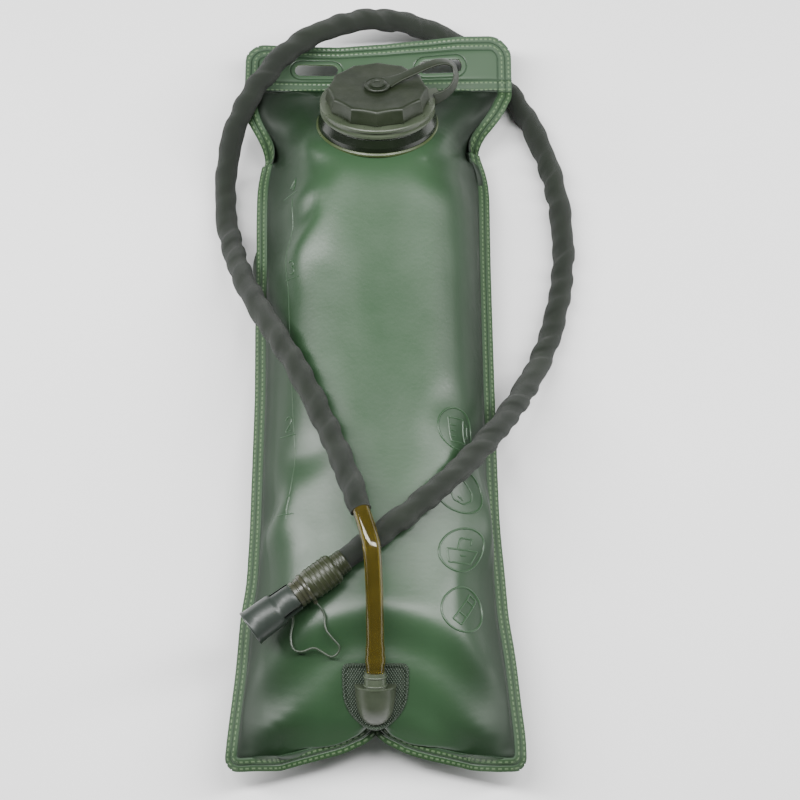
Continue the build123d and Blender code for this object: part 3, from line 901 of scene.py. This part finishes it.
def under_shield(points):
    """Film lies just below the port's shield and rises gently around it."""
    back_way = np.array(PORT.inverted())
    local = (points @ back_way[:3, :3].T + back_way[:3, 3]) / MM
    gap = np.maximum(shield_gap(local[:, 0], local[:, 1]), 0)
    limit = 0.7 + np.maximum(gap - 1.0, 0) * 0.55
    near = (gap < 14) & (np.abs(local[:, 2]) < 14)
    local[:, 2] = np.where(near, np.minimum(local[:, 2], limit), local[:, 2])
    forward = np.array(PORT)
    points[near] = (local[near] * MM) @ forward[:3, :3].T + forward[:3, 3]
    return points


def film_normals(grid):
    du = np.gradient(grid, axis=0)
    dv = np.gradient(grid, axis=1)
    normal = np.cross(du, dv)
    return normal / np.maximum(np.linalg.norm(normal, axis=2), 1e-12)[:, :, None]


def cell_mean(values):
    return 0.25 * (values[:-1, :-1] + values[1:, :-1] + values[1:, 1:] + values[:-1, 1:])


NECK_HOLE = 24.5 * MM        # radius of the front film's opening at the filler
VALVE_STEPS = range(0, 67, 2)   # mm along the valve


def build_bag():
    front, back = simulate_bag()
    front, back = fit_bag(front, back)
    x, y = fine_pattern()
    rim = -outline_distance(x, y)
    slot_gap = slot_distance(x, y)
    neck_gap = np.hypot(x - NECK_FLAT[0], y - NECK_FLAT[1])
    keep = (rim > -1e-6) & (slot_gap > -1e-6)
    cell_ok = (cell_mean(rim) > 0) & (cell_mean(slot_gap) > 0)
    cell_ok &= keep[:-1, :-1] & keep[1:, :-1] & keep[1:, 1:] & keep[:-1, 1:]
    valve_line = [VALVE_START + VALVE_AXIS * t * MM for t in VALVE_STEPS]
    valve_r = [(6.9 if t < 7 else 9.3 if t < 30 else 8.6 if t < 46 else 10.4) * MM
               for t in VALVE_STEPS]
    hose, _ = resample(line_of(HOSE_ROUTE), 0.003)
    tether, _ = resample(line_of(TETHER_ROUTE), 0.001)
    sheets = {}
    for name, grid, way in (("front", front, 1), ("back", back, -1)):
        fine = on_surface_grid(grid)
        if name == "front":
            points = fine.reshape(-1, 3)
            points = press_down(points, hose, [SLEEVE_R + 0.0004] * len(hose))
            points = press_down(points, valve_line, valve_r)
            points = press_down(points, tether, [0.0024] * len(tether))
            points = under_shield(points)
            fine = points.reshape(fine.shape)
        normal = film_normals(fine) * way
        relief = 0.00045 - 0.00035 * np.exp(-((rim - 0.0090) / 0.0009) ** 2)
        relief -= 0.00030 * np.exp(-((rim - RIM_GROOVE) / 0.0006) ** 2)
        for line in WELD_LINES:
            relief -= 0.00032 * np.exp(-((y - line) / 0.0007) ** 2)
        relief += 0.00035 * np.exp(-((slot_gap - 0.0014) / 0.0009) ** 2)
        sheets[name] = fine + normal * relief[:, :, None]
    neck_open = cell_mean(neck_gap) > NECK_HOLE
    for name, allowed in (("front", cell_ok & neck_open), ("back", cell_ok)):
        make_film(name, sheets[name], allowed, rim, slot_gap, x, y)
    make_edge(sheets["front"], sheets["back"], cell_ok)
    return front, sheets["front"], (x, y)


def on_surface_grid(grid):
    across = catmull(np.arange(0, len(GRID_X) - 1 + 1e-9, 1 / FINE), len(GRID_X))
    along = catmull(np.arange(0, len(GRID_Y) - 1 + 1e-9, 1 / FINE), len(GRID_Y))
    x, y = fine_pattern()
    plain = np.stack([across @ grid[:, :, c] @ along.T for c in range(3)], axis=2)
    moved = np.hypot(x - np.interp(np.arange(x.shape[0]) / FINE, np.arange(len(GRID_X)),
                                   GRID_X)[:, None],
                     y - np.interp(np.arange(x.shape[1]) / FINE, np.arange(len(GRID_Y)),
                                   GRID_Y)[None, :]) > 1e-7
    plain[moved] = on_surface(grid, np.stack([x[moved], y[moved]], axis=1))
    return plain


def make_film(name, fine, cells, rim, slot_gap, x, y):
    index = np.full(rim.shape, -1)
    used = np.zeros(rim.shape, bool)
    used[:-1, :-1] |= cells
    used[1:, :-1] |= cells
    used[1:, 1:] |= cells
    used[:-1, 1:] |= cells
    index[used] = np.arange(used.sum())
    i, j = np.nonzero(cells)
    quads = np.stack([index[i, j], index[i + 1, j], index[i + 1, j + 1], index[i, j + 1]], axis=1)
    if name == "back":
        quads = quads[:, ::-1]
    piece = new_piece(name + "_film", fine[used], quads.tolist(), "film", "root")
    along = np.where(np.abs(x) > BAG_WIDTH / 2 - 0.0095, y, x)
    for label, values in (("rim", rim), ("slot", slot_gap), ("along", along)):
        point_values(piece, label, values[used])
    point_values(piece, "flat", np.stack([x[used], y[used], np.zeros(used.sum())], axis=1))
    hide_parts(name + "_panel")


def make_edge(front, back, cells):
    """Cut edge of the two welded films, around the outline and the slots."""
    counted = {}
    for i, j in zip(*np.nonzero(cells)):
        ring = [(i, j), (i + 1, j), (i + 1, j + 1), (i, j + 1)]
        for a, b in zip(ring, ring[1:] + ring[:1]):
            if (b, a) in counted:
                del counted[b, a]
            else:
                counted[a, b] = True
    verts = []
    faces = []
    place = {}
    for a, b in counted:
        for key in (a, b):
            if key not in place:
                place[key] = len(verts)
                verts.append(front[key])
                verts.append(back[key])
        faces.append((place[a], place[a] + 1, place[b] + 1, place[b]))
    new_piece("film_edge", verts, faces, "edge", "root")


FRONT_GRID, FRONT_FINE, FINE_PLACES = build_bag()


# ---- raised marks on the film -----------------------------------------------------------------
def flat_place(x, y):
    """Flat pattern place of the front film point over (x, y) in mm."""
    fine = FRONT_FINE
    away = np.hypot(fine[:, :, 0] - x * MM, fine[:, :, 1] - y * MM)
    away = np.where(fine[:, :, 2] > SEAM_Z + 0.004, away, 1.0)
    i, j = np.unravel_index(np.argmin(away), away.shape)
    return FINE_PLACES[0][i, j], FINE_PLACES[1][i, j]


class Beads:
    """Raised half-round lines that follow the film, gathered into one piece."""

    def __init__(self):
        self.verts = []
        self.faces = []
        fine = FRONT_FINE
        self.tree = BVHTree.FromPolygons(
            [Vector(p) for p in fine.reshape(-1, 3)],
            [(i * fine.shape[1] + j, (i + 1) * fine.shape[1] + j,
              (i + 1) * fine.shape[1] + j + 1, i * fine.shape[1] + j + 1)
             for i in range(fine.shape[0] - 1) for j in range(fine.shape[1] - 1)])

    def line(self, points, width, height):
        """points are flat pattern places in metres."""
        points = np.array(points, float)
        flat3 = np.concatenate([points, np.zeros((len(points), 1))], axis=1)
        flat3, _ = resample(flat3, 0.0009)
        flat = flat3[:, :2]
        way = np.gradient(flat, axis=0)
        way /= np.linalg.norm(way, axis=1)[:, None]
        side = np.stack([-way[:, 1], way[:, 0]], axis=1)
        profile = [(-1.0, -0.3), (-0.72, 0.6), (0.0, 1.0), (0.72, 0.6), (1.0, -0.3)]
        rows = []
        for across, up in profile:
            places = on_surface(FRONT_GRID, flat + side * across * width / 2)
            lifted = []
            for p in places:
                hit, normal, _, _ = self.tree.find_nearest(Vector(p))
                normal = normal if normal.z > 0 else -normal
                lifted.append(hit + normal * up * height)
            rows.append(lifted)
        start = len(self.verts)
        count = len(flat)
        for row in rows:
            self.verts.extend(row)
        for r in range(len(rows) - 1):
            for k in range(count - 1):
                a = start + r * count + k
                self.faces.append((a, a + count, a + count + 1, a + 1))

    def circle(self, centre, radius, width, height):
        count = 48
        angles = np.radians(np.linspace(0.0, 360.0, count + 1))
        points = [(centre[0] + radius * math.cos(a), centre[1] + radius * math.sin(a))
                  for a in angles]
        self.line(points, width, height)

    def finish(self, name):
        piece = new_piece(name, self.verts, self.faces, "film", "root")
        for label in ("rim", "slot", "along"):
            point_values(piece, label, [0.05] * len(self.verts))


PICTOGRAMS = {
    "jug": [[(-5, 6), (-5, -7), (5, -7), (5, 6), (-5, 6)], [(5, 4), (8, 3), (8, -3), (5, -4)],
            [(-5, 2), (-1, 2)], [(-5, -1), (-1, -1)], [(-5, -4), (-1, -4)]],
    "drop": [[(0, 8), (3, 3), (5, -1), (4, -5), (0, -7), (-4, -5), (-5, -1), (-3, 3), (0, 8)],
             [(-2, -3), (0, -5)]],
    "sink": [[(-8, 0), (8, 0), (6, -7), (-6, -7), (-8, 0)], [(-3, 0), (-3, 6), (3, 6), (3, 3)],
             [(-1, -3), (2, -3)]],
    "bottle": [[(-6, -5), (2, 5), (6, 2), (-2, -8), (-6, -5)], [(2, 5), (4, 8), (8, 5), (6, 2)],
               [(-3, -1), (1, -4)]],
}
NUMERALS = {
    "1": [[(-0.3, 0.7), (0.1, 1), (0.1, -1)]],
    "2": [[(-0.5, 0.6), (-0.2, 1), (0.3, 1), (0.5, 0.6), (0.4, 0.1), (-0.5, -1), (0.5, -1)]],
    "3": [[(-0.5, 0.8), (0.0, 1), (0.5, 0.7), (0.4, 0.2), (0.0, 0.05), (0.45, -0.2),
           (0.5, -0.7), (0.0, -1), (-0.5, -0.8)]],
    "4": [[(0.3, -1), (0.3, 1), (-0.5, -0.3), (0.6, -0.3)]],
}


def marks():
    icons = Beads()
    for name, x, y in (("jug", 47.5, -36), ("drop", 50.5, -73), ("sink", 50.5, -108),
                       ("bottle", 50.0, -144)):
        centre = flat_place(x, y)
        icons.circle(centre, 0.0132, 0.0014, 0.0006)
        for stroke in PICTOGRAMS[name]:
            points = [(centre[0] + a * 0.00115, centre[1] + b * 0.00115) for a, b in stroke]
            icons.line(points, 0.0012, 0.00045)
    icons.finish("embossed_icons")
    scale = Beads()
    top = flat_place(-52.0, 112)
    low = flat_place(-52.0, -90)
    scale.line([top, low], 0.0007, 0.0002)
    for digit, y in (("4", 122), ("3", 67), ("2", -32), ("1", -80)):
        x0, y0 = flat_place(-52.0, y)
        scale.line([(x0 - 0.006, y0 - 0.007), (x0 + 0.005, y0 - 0.007)], 0.0008, 0.0003)
        for stroke in NUMERALS[digit]:
            points = [(x0 + a * 0.0042, y0 + b * 0.0045) for a, b in stroke]
            scale.line(points, 0.0010, 0.00035)
    scale.finish("embossed_scale")


marks()


# ---- filler cap and leash ---------------------------------------------------------------------
CAP_SIDES = 12


def facet(angle, amount):
    """Radius factor of a rounded twelve-sided outline."""
    step = 2 * math.pi / CAP_SIDES
    local = (angle % step) - step / 2
    sharp = math.cos(step / 2) / math.cos(local)
    return 1 + (sharp - 1) * amount


def build_cap():
    profile = [(0, 24.5), (28.4, 24.5), (28.4, 18.0), (28.8, 17.4), (31.4, 17.4), (31.9, 17.8),
               (32.0, 18.4), (31.7, 20.5), (31.2, 23.2), (30.9, 25.0), (30.6, 26.0), (30.0, 26.7),
               (29.2, 27.0), (28.2, 27.05), (26.0, 26.9), (16.0, 27.0), (8.0, 27.0), (0, 27.0)]
    amounts = [0, 0, 0, 0.3, 1.4, 1.5, 1.6, 1.6, 1.6, 1.6, 1.5, 1.4, 1.2, 1.0, 0.7, 0.2, 0, 0]
    cap = lathe("cap_shell", profile, NECK, "cap", "cap", sides=240,
                shape=lambda angle, row: facet(angle, amounts[row]))
    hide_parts("cap")
    ridge = []
    for k in range(121):
        angle = 2 * math.pi * k / 90
        ridge.append(NECK @ Vector((*polar(0.0282, angle), 0.0188 + 0.004 * k / 90)))
    swept("cap_thread", np.array([tuple(p) for p in ridge]),
          lambda k, t: ring_section(0.0008 * min(1, 6 * t + 0.1, 6 * (1 - t) + 0.1), 8),
          "cap", "cap")


def build_leash():
    eye_profile = [(3.0, 27.35), (7.9, 27.35), (8.2, 27.7), (8.2, 28.5), (7.8, 28.9), (7.0, 28.9),
                   (6.7, 28.7), (6.3, 28.7), (6.0, 28.9), (3.0, 28.9)]
    eye = lathe("leash_eye_ring", eye_profile, NECK, "leash", "leash")
    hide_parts("leash_eye")
    route = [(5.5, 2.9, 28.1), (13, 6.6, 28.8), (25, 13, 31.5), (36, 19, 33.5), (45.0, 22.0, 32.0),
             (49.0, 19.5, 27.0), (48.0, 12.5, 21.0), (42, 7.6, 16.8), (35.2, 4.9, 15.15)]
    points, _ = resample(line_of([tuple(NECK @ (Vector(p) * MM)) for p in route]), 0.0008)

    def section(k, t):
        half = 0.0036 + 0.0030 * max(0.0, 1 - t / 0.16) ** 2 + 0.0014 * max(0.0, (t - 0.86) / 0.14)
        thick = 0.0008
        rows = []
        for i in range(24):
            angle = 2 * math.pi * i / 24
            c, s = math.cos(angle), math.sin(angle)
            rows.append((math.copysign(abs(c) ** 0.35, c) * half,
                         math.copysign(abs(s) ** 0.6, s) * thick))
        return rows
    axis = NECK.to_3x3() @ Vector((0, 0, 1))
    strap = swept("leash_band", points, section, "leash", None,
                  first_normal=tuple(axis))
    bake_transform(strap)
    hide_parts("leash_strap")


build_cap()
build_leash()


# ---- outlet port --------------------------------------------------------------------------------
def smooth_ring(points, count):
    """Closed smooth outline through the given points."""
    points = np.array(points, float)
    wrapped = np.concatenate([points[-2:], points, points[:3]])
    t = np.linspace(0, len(points), count, endpoint=False)
    weights = catmull(t + 2, len(wrapped))
    return weights @ wrapped


def build_port():
    outline = smooth_ring(SHIELD, 160)
    centre = np.array([0.0, -1.0])
    verts = []
    rows = [(0.0, 0.0), (0.0, 1.7), (0.35, 2.25), (0.8, 2.4), (1.3, 2.35), (1.7, 1.75), (2.2, 1.6),
            (4.0, 1.6), (9.0, 1.6)]
    for inset, height in rows:
        for point in outline:
            spot = centre + (point - centre) * (1 - inset / 18.0)
            verts.append(PORT @ (Vector((spot[0], spot[1], height)) * MM))
    shield = solid_piece("port_shield", verts, capped(len(rows), len(outline)), "knurl", "root",
                         50)
    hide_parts("port_base")
    profile = [(6.4, 11.0, 14.2), (6.2, 11.8, 14.9), (5.6, 12.1, 15.1), (4.9, 11.8, 14.9),
               (0.0, 11.5, 14.6), (-5.0, 10.9, 13.9), (-9.0, 10.1, 12.0), (-12.5, 8.7, 9.2),
               (-15.2, 6.6, 5.9), (-17.0, 4.2, 3.8), (-18.0, 1.8, 2.4)]
    verts = []
    sides = 48
    for v, half, height in profile:
        for i in range(sides):
            angle = math.pi * i / (sides - 1)
            verts.append(PORT @ (Vector((half * math.cos(angle), v,
                                         1.5 + (height - 1.5) * abs(math.sin(angle)) ** 0.9)) * MM))
    boss = solid_piece("port_cup", verts, capped(len(profile), sides), "boss", "root", 50)
    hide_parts("port_boss")


build_port()


# ---- hose, sleeve and tether --------------------------------------------------------------------
def build_hose():
    line = line_of(HOSE_ROUTE)
    points, lengths = resample(line, 0.0016)

    def hose_section(k, t):
        swell = 0.0008 * math.exp(-((lengths[k] - 0.007) / 0.004) ** 2)
        swell += 0.0005 * math.exp(-((lengths[k] - 0.0135) / 0.0015) ** 2)
        return ring_section(HOSE_R + swell, 40)
    hose = swept("hose_tube", points, hose_section, "amber", "root")
    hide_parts("hose")
    bore = swept("hose_bore", points[2:], lambda k, t: ring_section(0.0032, 24), "amber", "root")
    bore.data.flip_normals()
    start = int(np.argmin(np.linalg.norm(points - np.array(SLEEVE_START), axis=1)))
    tail, tail_lengths = resample(points[start:], 0.0011)
    rng = np.random.default_rng(7)
    waves = [(rng.uniform(90, 480), rng.uniform(0, 6.28), rng.integers(1, 3), rng.uniform(0, 6.28),
              rng.uniform(0.4, 1.0)) for _ in range(14)]
    count = 56

    def sleeve_section(k, t):
        s = tail_lengths[k]
        rows = []
        edge = min(s, tail_lengths[-1] - s)
        cuff = 0.0009 * math.exp(-(edge / 0.004) ** 2)
        for i in range(count):
            angle = 2 * math.pi * i / count
            wave = sum(a * math.sin(f * s + p + n * angle + q) for f, p, n, q, a in waves)
            fold = math.tanh(wave * 0.6) * 0.00062
            radius = SLEEVE_R - 0.0002 + fold - cuff
            rows.append(polar(radius, angle))
        return rows
    sleeve = swept("sleeve_fabric", tail, sleeve_section, "sleeve", "root")
    flat = [(2 * math.pi * min(i, count - i) / count, tail_lengths[k], 0.0)
            for k in range(len(tail)) for i in range(count)]
    point_values(sleeve, "flat", flat)
    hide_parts("hose_sleeve")
    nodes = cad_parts
    carried = [sleeve, bore] + [nodes[n] for n in ("valve_collar", "valve_grip", "tether_ring",
                                                   "valve_neck", "bite_valve")]
    return hose, points, carried


def build_tether():
    tether = cord_curve("tether_loop", TETHER_ROUTE, 0.00065)
    tether.data.materials.append(LOOKS["tether"])
    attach(tether, "root")
    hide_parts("tether")
    length = float(resample(line_of(TETHER_ROUTE), 0.0005)[1][-1])


SLITS = (28, 152, 270)       # directions of the cover's slits, in degrees
SLIT_HALF = 8.0
SLIT_END = 47.5              # mm along the valve


def build_cover():
    """Dust cover: slotted fingers at the open end, a wider sleeve and a closed lip."""
    outer = [(8.1, 35.2), (8.4, 35.6), (8.5, 38.0), (8.6, 42.0), (8.7, 46.0), (9.0, 47.2),
             (9.6, 48.0), (9.8, 49.0), (9.9, 55.0), (10.05, 61.0), (10.2, 64.2), (10.55, 65.0),
             (10.6, 65.6), (10.3, 66.2), (9.6, 66.3), (9.2, 65.9), (5.0, 65.8), (0, 65.8)]
    inner = [(0, 64.6), (8.4, 64.6), (8.8, 62.0), (8.7, 49.6), (7.7, 47.0), (7.6, 36.0),
             (7.8, 35.2)]
    rows = inner + outer
    sides = 120
    verts = []
    for radius, height in rows:
        for a, b in ring_section(max(radius, 0.02), sides):
            verts.append(VALVE @ (Vector((a, b, height)) * MM))

    def in_slit(k):
        angle = math.degrees(2 * math.pi * (k + 0.5) / sides)
        return any(abs((angle - a + 180) % 360 - 180) < SLIT_HALF for a in SLITS)

    def cut(r, k):
        return in_slit(k) and 0.5 * (rows[r][1] + rows[r + 1][1]) < SLIT_END
    piece = solid_piece("dust_cover_shell", verts, quads_between(len(rows), sides, cut), "cover",
                        "cover", 40)
    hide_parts("dust_cover")
    return piece


HOSE, HOSE_LINE, CARRIED = build_hose()
COVER = build_cover()
build_tether()


# ---- CAD pieces that are shown as they are --------------------------------------------------
SHOWN = {
    "filler_neck": "neck", "neck_collar": "collar", "leash_ring": "rim", "leash_button": "cap",
    "cap_seal": "seal", "port_seal": "seal",
    "port_connector": "connector", "valve_collar": "valve", "valve_grip": "valve",
    "tether_ring": "ring", "valve_neck": "ring", "bite_valve": "mouth",
}
for node, look in SHOWN.items():
    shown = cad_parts[node]
    if not shown.material_slots:
        shown.data.materials.append(None)
    for place in shown.material_slots:
        place.material = LOOKS[look]


# ---- floor, light and camera ------------------------------------------------------------------
FLOOR_HALF = 2.5
FLOOR_DROP = 0.0002          # keeps the floor clear of the object's underside
LIGHTS = [("left_box", (-0.66, 0.10, 1.02), (-0.02, 0.0, 0.03), 0.22, 30.0),
          ("right_box", (0.66, 0.10, 1.02), (0.02, 0.0, 0.03), 0.18, 25.0)]
LIGHT_LENGTH = 1.4
WORLD_STRENGTH = 0.14


def build_floor():
    look = Look("floor", 0.75)
    look.link(look.ramp(look.noise(4.0, 2.0), [(0.3, (0.86,) * 3), (0.7, (0.90,) * 3)]),
              "Base Color")
    mesh = bpy.data.meshes.new("floor")
    size = FLOOR_HALF
    mesh.from_pydata([(-size, -size, 0), (size, -size, 0), (size, size, 0), (-size, size, 0)], [],
                     [(0, 1, 2, 3)])
    mesh.materials.append(look.mat)
    floor = add_object("floor", mesh)
    floor.location.z = -FLOOR_DROP


def area_light(name, place, target, size, power):
    light = bpy.data.lights.new(name, "AREA")
    light.energy = power
    light.shape = "RECTANGLE"
    light.size = size
    light.size_y = LIGHT_LENGTH
    lamp = add_object(name, light)
    lamp.location = place
    lamp.rotation_mode = "QUATERNION"
    lamp.rotation_quaternion = (Vector(target) - Vector(place)).to_track_quat("-Z", "Y")


def build_stage():
    build_floor()
    for light in LIGHTS:
        area_light(*light)
    world = bpy.data.worlds.new("studio")
    bpy.context.scene.world = world
    world.use_nodes = True
    world.node_tree.nodes["Background"].inputs[0].default_value = (1, 1, 1, 1)
    world.node_tree.nodes["Background"].inputs[1].default_value = WORLD_STRENGTH


CAMERA_ELEVATION = math.radians(72.0)
CAMERA_DISTANCE = 1.2
CAMERA_TARGET = Vector((0.0139, -0.0104, 0.030))
CAMERA_LENS = 89.55


def build_camera():
    camera = add_object("camera", bpy.data.cameras.new("camera"))
    away = Vector((0, -math.cos(CAMERA_ELEVATION), math.sin(CAMERA_ELEVATION)))
    camera.location = CAMERA_TARGET + away * CAMERA_DISTANCE
    camera.rotation_mode = "QUATERNION"
    camera.rotation_quaternion = (-away).to_track_quat("-Z", "Y")
    camera.data.lens = CAMERA_LENS
    bpy.context.scene.camera = camera


build_stage()
build_camera()
